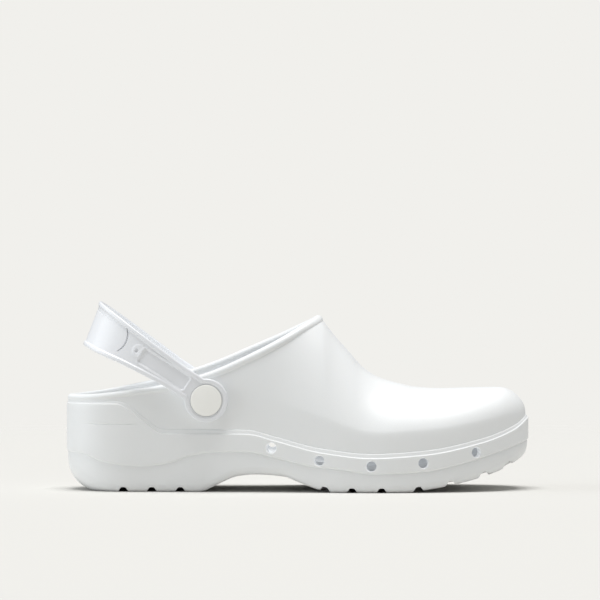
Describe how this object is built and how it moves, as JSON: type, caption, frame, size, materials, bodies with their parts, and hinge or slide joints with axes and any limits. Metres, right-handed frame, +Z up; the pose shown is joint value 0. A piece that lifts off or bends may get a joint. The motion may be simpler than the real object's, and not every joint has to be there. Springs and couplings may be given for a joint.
{
  "type": "chef clog",
  "caption": "Moulded kitchen work clog with a closed toe, side vents, a loose insole and a stiff heel strap that swings on rivets.",
  "frame": {"origin": "on the floor, in the middle of the flat heel tread", "axes": "+X points to the toe, +Y to the inner side of the right foot, +Z up"},
  "size_m": [0.285, 0.1073, 0.1161],
  "materials": {
    "body_foam": "moulded closed-cell foam, soft satin",
    "insole_foam": "moulded foam, matte",
    "strap_plastic": "moulded plastic, satin gloss",
    "rivet_plastic": "moulded plastic, satin"
  },
  "bodies": {
    "shoe": {"upper_and_sole": "body_foam", "insole": "insole_foam", "rivet_outer": "rivet_plastic", "rivet_inner": "rivet_plastic", "rivet_washer_outer": "rivet_plastic", "rivet_washer_inner": "rivet_plastic"},
    "strap": {"heel_strap": "strap_plastic"}
  },
  "joints": [
    {"name": "strap_swing", "type": "hinge", "parent": "shoe", "child": "strap", "pos_m": [0.0438, -0.00115, 0.0558], "axis": [0, 1, 0], "range_deg": [-5, 80]}
  ]
}
